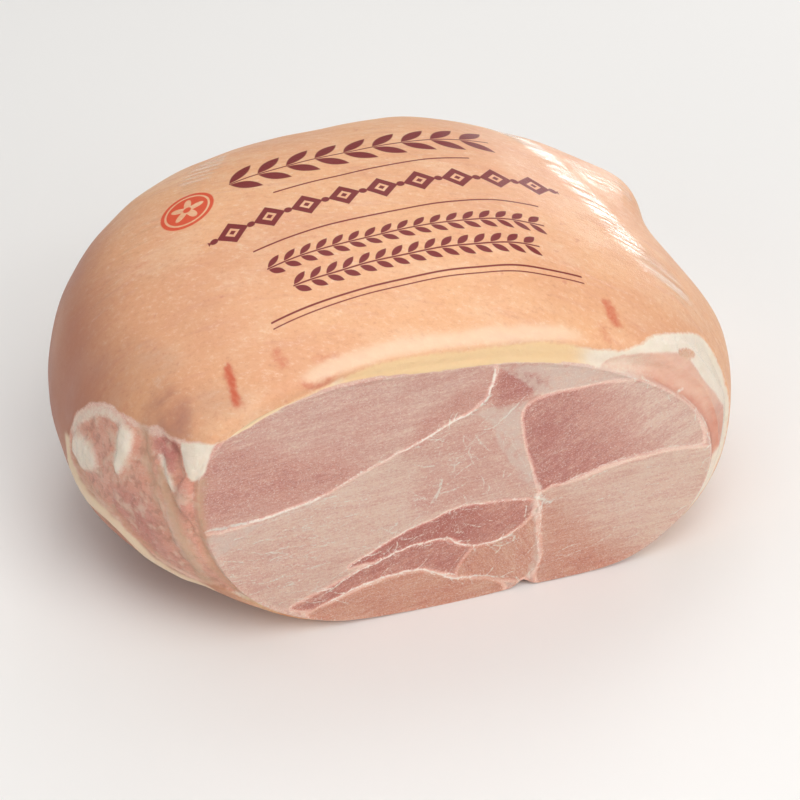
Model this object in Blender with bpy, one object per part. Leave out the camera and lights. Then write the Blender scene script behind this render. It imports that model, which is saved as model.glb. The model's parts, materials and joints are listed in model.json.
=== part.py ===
"""A whole cooked ham in its pale rind, cut straight across at one end.

The ham lies on its flatter side. +X runs along the cut face, +Y from the cut
face into the ham, +Z up. The origin ends up under the middle of the ham, on
the surface that it rests on.

Its body is a loft of closed sections around one level axis: a cut section at
the front, the girth where the ham is thickest, and a rounded butt behind it.
A knife plane flattens the front and the ham's own weight flattens the foot.
"""
import math

import bmesh
import bpy
import numpy as np

MM = 0.001

# The loft's level axis, across from the measuring point and above the table.
AXIS_X = 27 * MM
AXIS_Z = 62 * MM
GIRTH_DEPTH = 90 * MM
BUTT_LENGTH = 115 * MM
SHOULDER_POWER = 2.4
BUTT_POWER = 2.3

# Radii from the axis, every 22.5 degrees anticlockwise from +X: of the cut
# face, and of the girth, the ham's largest section.
CUT_RADII = np.array([113, 99, 80, 70, 68, 75, 94, 114, 109.5, 99.5, 83, 70, 67, 70, 89.5, 109]) * MM
GIRTH_RADII = np.array([135, 120, 102, 93, 88, 94, 113, 137, 147, 134, 96, 75, 70, 75, 98, 131]) * MM
# How softly the cut's edge is rounded, at the same angles.
CUT_EDGE = np.array([7, 8, 7, 6, 6, 6, 5, 4, 4, 3.5, 3, 2.5, 2, 2, 2.5, 4]) * MM
FOOT_EDGE = 5 * MM

# Swells and hollows of the body: x, y, z, reach, height.
SWELLS = (
    (110, 126, 116, 24, 3.0),
    (134, 116, 106, 13, 5.0),
    (150, 98, 84, 13, -7.5),
    (156, 60, 60, 22, 5.0),
    (-70, 40, 15, 25, -7.0),
    (-40, 190, 70, 24, -4.0),
    (60, 196, 96, 18, 3.0),
)

# The rind is a skin of this thickness. It stops short of the cut, and leaves
# an eye-shaped patch of the left wall bare, with two knots of tendon in it.
RIND = 2.2 * MM
EDGE_SLOPE = 10 * MM
RIND_GAP = 3.5 * MM
LIP_DEPTH = 19.5 * MM
EYE_DEPTHS = np.array([0, 15, 33, 57, 66, 76]) * MM
EYE_TOP = np.radians([156, 160, 163, 166, 171, 179])
EYE_FOOT = np.radians([197, 195, 190, 185, 181, 179])
TENDONS = (
    (-115, 52, 72, 9, 2.6),
    (-104, 31, 87, 7, 2.4),
    (-88, 4, 82, 8, 1.8),
)

SEGMENTS = 72
FACE_RINGS = 6
SIDE_RINGS = 22
BUTT_RINGS = 20

MEAT_COLOUR = (0.52, 0.27, 0.22, 1.0)
RIND_COLOUR = (0.80, 0.52, 0.33, 1.0)


def clear_scene():
    for old in list(bpy.data.objects):
        bpy.data.objects.remove(old)


def around(values, angle):
    """Smooth closed curve through values that stand at equal angles.

    The curve is a cubic B-spline. Its control values are the wanted ones with
    the spline's own smoothing, 1/6 4/6 1/6, divided out.
    """
    count = len(values)
    smoothing = np.zeros(count)
    smoothing[[0, 1, -1]] = 4 / 6, 1 / 6, 1 / 6
    control = np.real(np.fft.ifft(np.fft.fft(values) / np.fft.fft(smoothing)))
    place = np.mod(angle / math.tau, 1.0) * count
    first = np.floor(place).astype(int)
    part = place - first
    weights = (
        (1 - part) ** 3 / 6,
        (3 * part ** 3 - 6 * part ** 2 + 4) / 6,
        (-3 * part ** 3 + 3 * part ** 2 + 3 * part + 1) / 6,
        part ** 3 / 6,
    )
    return sum(weight * control[(first - 1 + step) % count] for step, weight in enumerate(weights))


def soft_floor(value, level, softness):
    """The larger of value and level, rounded where they meet."""
    overlap = np.maximum(softness - np.abs(value - level), 0) / softness
    return np.maximum(value, level) + overlap ** 2 * softness / 4


def ramp(value, start, end):
    """0 before start, 1 after end, smooth between them."""
    part = np.clip((value - start) / (end - start), 0, 1)
    return part * part * (3 - 2 * part)


def loft(angle, ring):
    """Points of the bare loft: ring 0 to 1 on the cut, to 2 at the girth, to 3 at the butt."""
    cut = around(CUT_RADII, angle)
    girth = around(GIRTH_RADII, angle)
    narrowing = np.clip(cut / girth, 0.3, 0.985)
    shoulder = GIRTH_DEPTH / (1 - narrowing ** SHOULDER_POWER) ** (1 / SHOULDER_POWER)

    face_radius = cut * np.clip(ring, 0, 1)
    face_curve = 1 - (face_radius / girth) ** SHOULDER_POWER
    face_depth = GIRTH_DEPTH - shoulder * face_curve ** (1 / SHOULDER_POWER)

    side_depth = GIRTH_DEPTH * np.clip(ring - 1, 0, 1)
    side_curve = 1 - np.clip((GIRTH_DEPTH - side_depth) / shoulder, 0, 1) ** SHOULDER_POWER
    side_radius = girth * side_curve ** (1 / SHOULDER_POWER)

    turn = np.clip(ring - 2, 0, 1) * math.pi / 2
    butt_radius = girth * np.maximum(np.cos(turn), 0) ** (2 / BUTT_POWER)
    butt_depth = GIRTH_DEPTH + BUTT_LENGTH * np.sin(turn) ** (2 / BUTT_POWER)

    radius = np.where(ring <= 1, face_radius, np.where(ring <= 2, side_radius, butt_radius))
    depth = np.where(ring <= 1, face_depth, np.where(ring <= 2, side_depth, butt_depth))
    across = AXIS_X + radius * np.cos(angle)
    height = AXIS_Z + radius * np.sin(angle)
    return np.stack([across, depth, height], axis=-1)


def swell(points, centre, swells):
    """Move the points out from the centre by each swell's bell-shaped height."""
    outward = points - centre
    outward /= np.maximum(np.linalg.norm(outward, axis=-1, keepdims=True), MM)
    lift = np.zeros(points.shape[:-1])
    for x, y, z, reach, height in swells:
        gap = np.linalg.norm(points - np.array([x, y, z]) * MM, axis=-1)
        lift += height * MM * np.exp(-0.5 * (gap / (reach * MM)) ** 2)
    return points + outward * lift[..., None]


def rind_cover(points, angle):
    """1 under the rind, 0 on the bare rim and in the eye of the left wall."""
    depth = points[..., 1]
    degrees = np.degrees(np.mod(angle + math.pi / 2, math.tau)) - 90
    lip = ramp(degrees, 36, 18) * ramp(degrees, -42, -4)
    front = RIND_GAP + LIP_DEPTH * lip
    cover = ramp(depth, front - EDGE_SLOPE / 2, front + EDGE_SLOPE / 2)

    radius = np.hypot(points[..., 0] - AXIS_X, points[..., 2] - AXIS_Z)
    above = (np.interp(depth, EYE_DEPTHS, EYE_TOP) - np.mod(angle, math.tau)) * radius
    below = (np.mod(angle, math.tau) - np.interp(depth, EYE_DEPTHS, EYE_FOOT)) * radius
    outside = np.maximum(above, below)
    return cover * ramp(outside, -EDGE_SLOPE / 2, EDGE_SLOPE / 2)


def ham_points(angle, ring):
    """The ham's surface, from the loft to the knife plane and the foot."""
    centre = np.array([AXIS_X, GIRTH_DEPTH, AXIS_Z])
    points = swell(loft(angle, ring), centre, SWELLS)
    bare = 1 - rind_cover(points, angle)
    sideways = np.stack([np.cos(angle), np.zeros_like(angle), np.sin(angle)], axis=-1)
    points = points - sideways * (bare * RIND * (ring > 0))[..., None]
    points = swell(points, centre, TENDONS)
    points[..., 1] = soft_floor(points[..., 1], 0.0, around(CUT_EDGE, angle))
    points[..., 2] = soft_floor(points[..., 2], 0.0, FOOT_EDGE)
    return points


def ring_place(index):
    """Where ring number index lies on the loft: close together near the cut's edge."""
    if index <= FACE_RINGS:
        return (index / FACE_RINGS) ** 0.6
    if index <= FACE_RINGS + SIDE_RINGS:
        return 1 + ((index - FACE_RINGS) / SIDE_RINGS) ** 1.4
    return 2 + (index - FACE_RINGS - SIDE_RINGS) / BUTT_RINGS


def make_ham():
    """A sphere's rings, pole to pole, become the ham's rings from cut to butt."""
    rings = FACE_RINGS + SIDE_RINGS + BUTT_RINGS
    shape = bmesh.new()
    bmesh.ops.create_uvsphere(shape, u_segments=SEGMENTS, v_segments=rings, radius=1.0)
    start = np.array([vert.co[:] for vert in shape.verts])
    angle = np.arctan2(start[:, 1], start[:, 0])
    index = np.rint(np.arccos(np.clip(start[:, 2], -1, 1)) / math.pi * rings)
    ring = np.array([ring_place(number) for number in index])

    points = ham_points(angle, ring)
    middle = (points.min(axis=0) + points.max(axis=0)) / 2
    middle[2] = points[:, 2].min()
    for vert, place in zip(shape.verts, points - middle):
        vert.co = place
    bmesh.ops.recalc_face_normals(shape, faces=shape.faces)

    mesh = bpy.data.meshes.new("ham")
    shape.to_mesh(mesh)
    shape.free()
    mesh.shade_smooth()
    mesh.set_sharp_from_angle(angle=math.radians(50))
    ham = bpy.data.objects.new("ham", mesh)
    bpy.context.scene.collection.objects.link(ham)
    return ham


def finish(name, colour, roughness):
    material = bpy.data.materials.new(name)
    material.use_nodes = True
    shader = material.node_tree.nodes["Principled BSDF"]
    shader.inputs["Base Color"].default_value = colour
    shader.inputs["Roughness"].default_value = roughness
    shader.inputs["Metallic"].default_value = 0.0
    return material


def paint(ham):
    """Rind all over, and cut meat on the faces that lie in the knife plane."""
    ham.data.materials.append(finish("rind", RIND_COLOUR, 0.35))
    ham.data.materials.append(finish("cut_meat", MEAT_COLOUR, 0.45))
    for polygon in ham.data.polygons:
        polygon.material_index = int(polygon.normal.y < -0.995)


def main():
    clear_scene()
    ham = make_ham()
    paint(ham)


main()
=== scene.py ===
# %% [markdown]
# # A whole cooked ham in its rind, cut at one end
# The real thing is a boned leg of pork, pressed into a mould and cooked in its skin. One cut end
# shows how it is built: pale and dark muscles, the white sinew between them, a rim of fat, and a
# smooth peach-coloured rind round it all. The measured ham is loaded first, and everything below
# is a better surface for it, at the same place and size.

# %% Load the measured ham
import json
import math

import bmesh
import bpy
import numpy as np
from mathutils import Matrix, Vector, noise

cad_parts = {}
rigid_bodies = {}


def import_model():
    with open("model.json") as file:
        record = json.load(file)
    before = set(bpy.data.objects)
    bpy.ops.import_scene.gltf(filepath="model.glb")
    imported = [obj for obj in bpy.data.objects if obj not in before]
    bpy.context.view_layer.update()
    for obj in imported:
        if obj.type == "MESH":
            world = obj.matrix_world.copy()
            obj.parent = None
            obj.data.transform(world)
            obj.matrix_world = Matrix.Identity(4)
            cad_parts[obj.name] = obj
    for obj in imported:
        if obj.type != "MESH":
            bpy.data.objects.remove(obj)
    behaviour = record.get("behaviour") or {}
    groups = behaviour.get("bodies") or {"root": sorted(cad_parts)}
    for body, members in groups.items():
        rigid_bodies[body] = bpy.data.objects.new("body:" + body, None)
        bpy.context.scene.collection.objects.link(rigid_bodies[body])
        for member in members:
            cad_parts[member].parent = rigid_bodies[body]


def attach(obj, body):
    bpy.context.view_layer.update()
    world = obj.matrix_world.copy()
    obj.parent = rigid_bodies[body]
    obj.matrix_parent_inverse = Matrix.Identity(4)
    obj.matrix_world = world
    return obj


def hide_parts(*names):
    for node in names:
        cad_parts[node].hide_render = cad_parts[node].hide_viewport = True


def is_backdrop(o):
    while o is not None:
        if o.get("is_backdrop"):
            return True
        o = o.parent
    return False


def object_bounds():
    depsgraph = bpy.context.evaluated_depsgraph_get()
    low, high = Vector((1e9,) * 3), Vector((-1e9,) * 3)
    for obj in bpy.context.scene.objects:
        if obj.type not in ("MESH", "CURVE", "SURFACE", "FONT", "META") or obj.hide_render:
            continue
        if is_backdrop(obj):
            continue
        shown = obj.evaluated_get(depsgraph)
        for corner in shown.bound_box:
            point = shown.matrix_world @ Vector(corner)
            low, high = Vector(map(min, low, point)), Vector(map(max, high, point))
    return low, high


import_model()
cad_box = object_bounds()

MM = 0.001
print("ham's box:", [tuple(round(c, 4) for c in corner) for corner in cad_box])

# %% [markdown]
# ## Three ways to blend
# Meat has no hard edges, so nearly every rule below ends in a soft step. `ramp` goes smoothly from
# 0 to 1. `soft_floor` presses a shape against a flat level, as a knife or a board does, with a
# rounded edge. `around` is a smooth closed curve through a few radii: a cubic B-spline whose
# control values are the wanted radii with the spline's own smoothing divided out.

# %% Ramp, soft floor and closed curve
def ramp(value, start, end):
    part = np.clip((value - start) / (end - start), 0, 1)
    return part * part * (3 - 2 * part)


def soft_floor(value, level, softness):
    overlap = np.maximum(softness - np.abs(value - level), 0) / softness
    return np.maximum(value, level) + overlap ** 2 * softness / 4


def around(values, angle):
    count = len(values)
    smoothing = np.zeros(count)
    smoothing[[0, 1, -1]] = 4 / 6, 1 / 6, 1 / 6
    control = np.real(np.fft.ifft(np.fft.fft(values) / np.fft.fft(smoothing)))
    place = np.mod(angle / math.tau, 1.0) * count
    first = np.floor(place).astype(int)
    part = place - first
    weights = (
        (1 - part) ** 3 / 6,
        (3 * part ** 3 - 6 * part ** 2 + 4) / 6,
        (-3 * part ** 3 + 3 * part ** 2 + 3 * part + 1) / 6,
        part ** 3 / 6,
    )
    return sum(weight * control[(first - 1 + step) % count] for step, weight in enumerate(weights))


# %% [markdown]
# ## The form: sections round one axis
# A pressed ham is a loft. Its cut end and its girth are two closed outlines round the same level
# axis, given by their radii every 22.5 degrees, anticlockwise from the right. The shoulder between
# them and the butt behind them are rounded by a power curve, blunter than a circle. Sculpting
# would give the same form, but a rule can be read again and made finer at will.

# %% Sizes of the form
AXIS_X = 27 * MM
AXIS_Z = 62 * MM
GIRTH_DEPTH = 90 * MM
BUTT_LENGTH = 115 * MM
SHOULDER_POWER = 2.4
BUTT_POWER = 2.3
CUT_RADII = np.array([113, 99, 80, 70, 68, 75, 94, 114, 109.5, 99.5, 83, 70, 67, 70, 89.5, 109]) * MM
GIRTH_RADII = np.array([135, 120, 102, 93, 88, 94, 113, 137, 147, 134, 96, 75, 70, 75, 98, 131]) * MM
CUT_EDGE = np.array([7, 8, 7, 6, 6, 6, 5, 4, 4, 3.5, 3, 2.5, 2, 2, 2.5, 4]) * MM
FOOT_EDGE = 5 * MM
CENTRE = np.array([AXIS_X, GIRTH_DEPTH, AXIS_Z])

# Swells and hollows: x, y, z, reach and height, in millimetres.
SWELLS = (
    (110, 126, 116, 24, 3.0),
    (134, 116, 106, 13, 5.0),
    (150, 98, 84, 13, -7.5),
    (156, 60, 60, 22, 5.0),
    (-70, 40, 15, 25, -7.0),
    (-40, 190, 70, 24, -4.0),
    (60, 196, 96, 18, 3.0),
)


# %% The loft, and swells on it
def loft(angle, ring):
    """Ring 0 to 1 runs over the cut, 1 to 2 along the shoulder and 2 to 3 round the butt."""
    cut = around(CUT_RADII, angle)
    girth = around(GIRTH_RADII, angle)
    narrowing = np.clip(cut / girth, 0.3, 0.985)
    shoulder = GIRTH_DEPTH / (1 - narrowing ** SHOULDER_POWER) ** (1 / SHOULDER_POWER)

    face_radius = cut * np.clip(ring, 0, 1)
    face_curve = 1 - (face_radius / girth) ** SHOULDER_POWER
    face_depth = GIRTH_DEPTH - shoulder * face_curve ** (1 / SHOULDER_POWER)

    side_depth = GIRTH_DEPTH * np.clip(ring - 1, 0, 1)
    side_curve = 1 - np.clip((GIRTH_DEPTH - side_depth) / shoulder, 0, 1) ** SHOULDER_POWER
    side_radius = girth * side_curve ** (1 / SHOULDER_POWER)

    turn = np.clip(ring - 2, 0, 1) * math.pi / 2
    butt_radius = girth * np.maximum(np.cos(turn), 0) ** (2 / BUTT_POWER)
    butt_depth = GIRTH_DEPTH + BUTT_LENGTH * np.sin(turn) ** (2 / BUTT_POWER)

    radius = np.where(ring <= 1, face_radius, np.where(ring <= 2, side_radius, butt_radius))
    depth = np.where(ring <= 1, face_depth, np.where(ring <= 2, side_depth, butt_depth))
    return np.stack([AXIS_X + radius * np.cos(angle), depth, AXIS_Z + radius * np.sin(angle)], axis=-1)


def swell(points, swells):
    outward = points - CENTRE
    outward /= np.maximum(np.linalg.norm(outward, axis=-1, keepdims=True), MM)
    lift = np.zeros(len(points))
    for x, y, z, reach, height in swells:
        gap = np.linalg.norm(points - np.array([x, y, z]) * MM, axis=-1)
        lift += height * MM * np.exp(-0.5 * (gap / (reach * MM)) ** 2)
    return points + outward * lift[:, None]


# %% [markdown]
# ## A map of the cut end
# Muscles, sinews, the rind's edge and the marks on it are all drawn on one flat map, in
# millimetres. On the cut the map is the cut itself, with z up from the board. Past the cut's edge
# it carries on outwards: a point's depth behind the cut is added to its distance from the axis.
# Both meshes read the same map, so a line that crosses from one to the other stays whole.

# %% Map, paths and distances
BUTT_TURN = 155 * MM


def front_map(points):
    across = points[:, 0] - AXIS_X
    up = points[:, 2] - AXIS_Z
    radius = np.maximum(np.hypot(across, up), MM)
    depth = np.maximum(points[:, 1], 0)
    # Round the butt radius and depth would bring the map back in over itself, so it runs off there.
    runs_off = 20 * np.maximum(depth - BUTT_TURN, 0)
    stretch = (radius + depth + runs_off) / radius
    return np.stack([AXIS_X + across * stretch, AXIS_Z + up * stretch], axis=1)


def smooth_path(stations, closed=False, steps=6):
    """A Catmull-Rom curve through stations in millimetres."""
    at = np.array(stations, float) * MM
    if closed:
        at = np.vstack([at[-1], at, at[0], at[1]])
    else:
        at = np.vstack([2 * at[0] - at[1], at, 2 * at[-1] - at[-2]])
    t = np.linspace(0, 1, steps, endpoint=False)[:, None]
    spans = []
    for a, b, c, d in zip(at[:-3], at[1:-2], at[2:-1], at[3:]):
        cubic = 3 * b - a - 3 * c + d
        square = 2 * a - 5 * b + 4 * c - d
        spans.append(0.5 * (2 * b + (c - a) * t + square * t ** 2 + cubic * t ** 3))
    return np.vstack(spans + [at[-2:-1]])


def gap_to(places, path, limit):
    """Distance to the path, at most limit, and how far along the path, 0 to 1."""
    gap = np.full(len(places), limit)
    along = np.zeros(len(places))
    low, high = path.min(axis=0) - limit, path.max(axis=0) + limit
    near = np.flatnonzero(np.all((places > low) & (places < high), axis=1))
    spots = places[near]
    best, at = gap[near], along[near]
    for number, (start, end) in enumerate(zip(path[:-1], path[1:])):
        span = end - start
        part = np.clip((spots - start) @ span / (span @ span), 0, 1)
        reach = np.linalg.norm(spots - start - part[:, None] * span, axis=1)
        closer = reach < best
        best = np.where(closer, reach, best)
        at = np.where(closer, (number + part) / (len(path) - 1), at)
    gap[near], along[near] = best, at
    return gap, along


def depth_in(places, stations, limit=12 * MM):
    """Distance inside a closed outline, negative outside it."""
    path = smooth_path(stations, closed=True)
    gap, _ = gap_to(places, path, limit)
    x, z = places[:, 0], places[:, 1]
    inside = np.zeros(len(places), bool)
    for start, end in zip(path[:-1], path[1:]):
        rise = end[1] - start[1]
        crosses = (start[1] > z) != (end[1] > z)
        meet = start[0] + (z - start[1]) * (end[0] - start[0]) / (rise if abs(rise) > 1e-12 else 1e-12)
        inside ^= crosses & (x < meet)
    return np.where(inside, gap, -gap)


def wander(places, size, seed):
    """Soft noise from -1 to 1 with features of one size, for the map's points."""
    shift = Vector((seed * 7.3, seed * 3.1, seed * 5.7))
    return np.array([noise.noise(Vector((x / size, z / size, 0)) + shift) for x, z in places])


# %% [markdown]
# ## Where the rind ends
# The rind stops just behind the cut. On the left it rises over a bare patch of the wall, shaped
# like an eye, where the bone was taken out. On the right it has drawn back from a white lip of fat.

# %% Outlines of rind and meat
RIND_EDGE = (
    (-190, 68), (-184, 86), (-178, 97), (-165, 108), (-149, 114), (-139, 113), (-123, 111),
    (-111, 113), (-104, 110), (-96, 109), (-83, 109.5), (-74, 107.5), (-66, 110.5), (-57, 114.5),
    (-48, 119), (-38, 123), (-27, 127), (-8, 131.5), (12, 131.5), (33, 129), (54, 127.5), (66, 124.5),
    (78, 119), (88, 115), (96, 113.5), (104, 115), (113, 116), (124, 115), (132, 113), (146, 108),
    (157, 103), (163, 95), (165, 86), (168, 77), (170, 64), (167, 50), (158, 38), (146, 26),
    (132, 13), (116, 2), (98, -5), (76, -6), (54, -5), (30, -7), (5, -7), (-16, -5), (-34, 1),
    (-48, 8), (-62, 17), (-76, 28), (-88, 25), (-103, 25), (-118, 30), (-128, 40), (-146, 50),
    (-168, 50), (-185, 58),
)
MEAT_EDGE = (
    (-79, 103), (-76, 106), (-60, 113.5), (-45, 120), (-30, 125), (-15, 125.5), (0, 124), (20, 122),
    (40, 119.5), (57, 117), (72, 113), (82, 108.5), (92, 104), (98, 99.5), (106, 95.5), (114, 90.5),
    (121, 85), (127, 78), (131, 71), (133, 63), (135, 54), (138, 45), (134, 32), (126, 17),
    (113, 4), (98, -3), (76, -5), (58, -4), (30, -6), (5, -6), (-16, -4),
    (-35, 2), (-50, 10), (-66, 22), (-77, 32), (-82, 38), (-84, 52), (-86, 66), (-86, 78), (-81, 90),
)
RIND_THICKNESS = 2.2 * MM

# %% [markdown]
# ## The bare wall on the left
# Where the shank was, the wall is not cut but torn and pressed: two knobs of white tendon, a wedge
# of hard fat at the corner, a small round muscle under it, and folds that run down between them.
# Each is an outline or a path on the map with a height, so relief and colour stay together.

# %% Knobs, folds and lips
KNOBS = {
    "tendon_back": ((-183, 80), (-172, 86), (-160, 84), (-156, 76), (-161, 69), (-174, 63), (-186, 66)),
    "tendon_front": ((-139, 106), (-130, 106), (-129, 98), (-131, 90), (-138, 81), (-142, 84), (-141, 97)),
    "sliver": ((-110, 101), (-104, 98), (-97, 90), (-95, 84), (-101, 86.5), (-107, 95)),
    "wedge": ((-94, 107), (-84, 109), (-75, 108), (-77, 102), (-79.5, 95), (-84, 91.5), (-88, 94),
              (-92, 101)),
    "round_muscle": ((-96, 84), (-91, 92), (-85, 88), (-84, 79), (-87, 71), (-91, 72), (-95, 78)),
}
LOWER_LIP = (
    (-191, 66), (-186, 53), (-170, 44), (-150, 45), (-134, 38), (-124, 27), (-108, 20), (-92, 18),
)
# How softly the fat's colour begins on each, in millimetres, and how full it is.
FAT_KNOBS = {
    "tendon_back": (6.0, 0.78), "tendon_front": (5.0, 1.0), "sliver": (2.5, 0.8), "wedge": (1.5, 1.0),
}
FOLDS = (
    # stations, width, depth (negative stands proud), in millimetres
    (((-110, 104), (-106, 94), (-102, 83), (-96, 75), (-89, 69), (-86, 61)), 1.8, 1.5),
    (((-104, 108), (-100, 102), (-95, 95), (-92, 90)), 3.0, 1.3),
    (((-112, 108.5), (-107, 107), (-101, 104.5), (-97, 101)), 1.6, 1.5),
    (((-126, 110), (-122, 100), (-117, 88), (-114, 80)), 3.4, 1.3),
    (((-107, 84), (-101, 68), (-95, 54), (-90, 42), (-87, 31)), 5.0, -1.1),
    (((-112, 78), (-108, 62), (-102, 46), (-95, 32)), 3.0, 0.8),
    (((-147, 82), (-147, 62), (-146, 51)), 2.2, 0.6),
    (((-160, 66), (-150, 66), (-137, 68), (-126, 72), (-119, 77)), 1.2, 0.5),
    (LOWER_LIP, 4.5, -1.5),
    (((-184, 82), (-176, 94), (-163, 105), (-150, 110), (-136, 109), (-127, 106)), 4.0, -1.2),
    (((96, 113), (106, 113), (117, 112), (128, 109), (137, 104), (144, 95), (150, 83), (157, 73),
      (162, 63)), 4.6, -1.7),
    (((127, 106.5), (133, 104.5), (139, 101.5)), 2.0, 1.3),
    (((92, 107), (102, 103), (112, 98.5), (121, 92), (128, 84.5), (134, 76), (138, 66), (140, 56)),
     2.6, 0.7),
)
WALL_MUSCLES = (
    # outline, lean, warm, border
    (((-112, 110), (-104, 111), (-98, 107), (-96, 99), (-98, 92), (-103, 94), (-108, 98), (-113, 104)),
     0.95, 0.30, 7),
    (((-150, 62), (-130, 74), (-116, 72), (-108, 54), (-104, 36), (-120, 38), (-138, 50)), 0.74, 0.50, 16),
    (((-96, 84), (-91, 92), (-85, 88), (-84, 79), (-87, 71), (-91, 72), (-95, 78)), 0.60, 0.60, 4),
    (((-178, 74), (-168, 78), (-160, 92), (-150, 92), (-148, 76), (-162, 62)), 0.46, 0.60, 10),
)
# Thin sheets of dried connective tissue: stations, width, strength.
SHEETS = (
    (((-105, 92), (-101, 80), (-97, 67), (-93, 54), (-90, 36), (-88, 24)), 5.5, 0.8),
    (((-124, 112), (-119, 102), (-115, 93), (-111, 85), (-108, 76)), 5.0, 0.6),
    (((-80, 92), (-82, 80), (-82, 66), (-81, 50), (-76, 36), (-64, 20)), 3.2, 0.6),
    (((-186, 66), (-176, 54), (-160, 50), (-144, 52), (-128, 42), (-112, 30)), 4.0, 0.5),
)
HOLE = ((126, 105), (131, 105.5), (139, 102), (138, 99), (131, 100))
MEMBRANE = ((-187, 72), (-183, 84), (-176, 94), (-163, 104), (-150, 109), (-137, 107), (-131, 98))
WALL = (
    (-186, 84), (-168, 104), (-150, 111), (-124, 108), (-104, 107), (-92, 105), (-82, 93), (-80, 74),
    (-79, 56), (-76, 40), (-70, 27), (-88, 27), (-105, 28), (-124, 36), (-145, 52), (-168, 52),
    (-186, 60), (-189, 72),
)


# The right-hand lip: a pink band of meat, drawn in between the cut and a white roll of fat.
PINK_BAND = (
    (84, 107), (92, 104), (98, 99.5), (106, 95.5), (114, 90.5), (121, 85), (127, 78), (131, 71), (133, 63),
    (135, 54), (137, 47), (144, 50), (155, 56), (157, 66), (147, 76), (139, 87), (135, 96), (130, 103),
    (122, 107), (108, 110.5), (97, 111.5), (88, 111),
)


# %% Relief of the side
def side_relief(places):
    """How far each map point stands proud of the plain loft."""
    # Along the top and over the bare wall the rind thins out; elsewhere it ends in a step.
    thinned = np.maximum(ramp(places[:, 0], -78 * MM, -92 * MM), ramp(places[:, 1], 92 * MM, 106 * MM))
    edge = depth_in(places, RIND_EDGE)
    step = ramp(edge, -0.8 * MM, 0.8 * MM) * (1 - thinned) + ramp(edge, -3 * MM, 3 * MM) * thinned
    height = -step * RIND_THICKNESS * (1 - 0.4 * thinned)
    for name, stations in KNOBS.items():
        proud = {"sliver": 0.8, "wedge": 1.2}.get(name, 2.0) * MM
        height += proud * ramp(depth_in(places, stations), -2.5 * MM, 4 * MM)
    for stations, width, depth in FOLDS:
        gap, along = gap_to(places, smooth_path(stations), 12 * MM)
        ends = ramp(along, 0, 0.12) * ramp(along, 1, 0.88)
        height -= depth * MM * ends * np.exp(-(gap / (width * MM)) ** 2)
    wall = ramp(depth_in(places, WALL), 0, 6 * MM)
    height += wall * 0.7 * MM * (wander(places, 6 * MM, 1) + 0.6 * wander(places, 3 * MM, 2))
    lip = ramp(depth_in(places, PINK_BAND), -1 * MM, 5 * MM)
    return height - 1.2 * MM * lip


# %% [markdown]
# ## The body's mesh
# A UV sphere has rings and segments, and so has a loft. Each ring of the sphere becomes a ring of
# the ham. They lie closest just behind the cut, where the rim and the wall are seen best. Inside
# the cut's outline the body is let in by a millimetre, as a tray for the cut face, which is a mesh
# of its own because it needs a grid three times as fine.

# %% Rings of the body
SEGMENTS = 440
TRAY_RINGS = (0.0, 0.55, 0.9, 0.994)
TRAY_DEPTH = 1.0 * MM
RIM_RINGS = 14
SIDE_RINGS = 112
BUTT_RINGS = 88
# How far inside the cut's edge the face's own outline runs, at the radii's angles.
FACE_INSET = np.array([7, 14, 11.5, 9.5, 9, 9, 8.5, 4.5, 3, 3, 2.5, 2.2, 2, 2.4, 2.2, 3.5]) * MM
NOTCH = (54 * MM, 3.4 * MM, 3.6 * MM, 22 * MM)


def ring_of(index, angle):
    """The loft's ring parameter for ring number index."""
    rim = 1 - around(FACE_INSET, angle) / around(CUT_RADII, angle)
    tray = np.interp(index, range(len(TRAY_RINGS)), TRAY_RINGS) * rim
    first = len(TRAY_RINGS)
    rim_part = np.clip((index - first) / RIM_RINGS, 0, 1)
    side_part = np.clip((index - first - RIM_RINGS) / SIDE_RINGS, 0, 1)
    butt_part = np.clip((index - first - RIM_RINGS - SIDE_RINGS) / BUTT_RINGS, 0, 1)
    outer = rim + (1 - rim) * rim_part + side_part ** 1.2 + butt_part
    return np.where(index < first, tray, outer)


# %% Shape the body
def press(points, angle):
    """Flatten the points against the knife's plane and the board."""
    points[:, 1] = soft_floor(points[:, 1], 0.0, around(CUT_EDGE, angle))
    points[:, 2] = soft_floor(points[:, 2], 0.0, FOOT_EDGE)
    return points


def lift_notch(points):
    """Where two muscles part at the foot of the cut, the edge stands off the board."""
    middle, width, height, reach = NOTCH
    share = np.exp(-((points[:, 0] - middle) / width) ** 2) * ramp(points[:, 1], reach, 0)
    points[:, 2] += share * height * ramp(points[:, 2], 12 * MM, 0)
    return points


def body_points(angle, index):
    ring = ring_of(index, angle)
    points = press(swell(loft(angle, ring), SWELLS), angle)
    places = front_map(points)
    # On the rim the surface faces forwards, and past it sideways; relief follows it round.
    round_rim = ramp(points[:, 1], 0, 5 * MM)
    outward = np.stack([np.cos(angle) * round_rim, round_rim - 1, np.sin(angle) * round_rim], axis=1)
    away = points - CENTRE
    away /= np.maximum(np.linalg.norm(away, axis=1, keepdims=True), MM)
    outward = np.where(ring[:, None] > 2, away, outward)
    off_face = (index - len(TRAY_RINGS)) / RIM_RINGS * around(FACE_INSET, angle)
    lift = side_relief(places) * ramp(off_face, 0.3 * MM, 2.6 * MM)
    dimples = np.array([noise.noise(Vector(point) / (22 * MM)) for point in points])
    lift += 0.7 * MM * dimples * ramp(points[:, 1], 2 * MM, 12 * MM)
    points = points + outward * lift[:, None]
    points[:, 1:] = np.maximum(points[:, 1:], 0)
    points = lift_notch(points)
    points[index < len(TRAY_RINGS), 1] = TRAY_DEPTH
    return points


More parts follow.
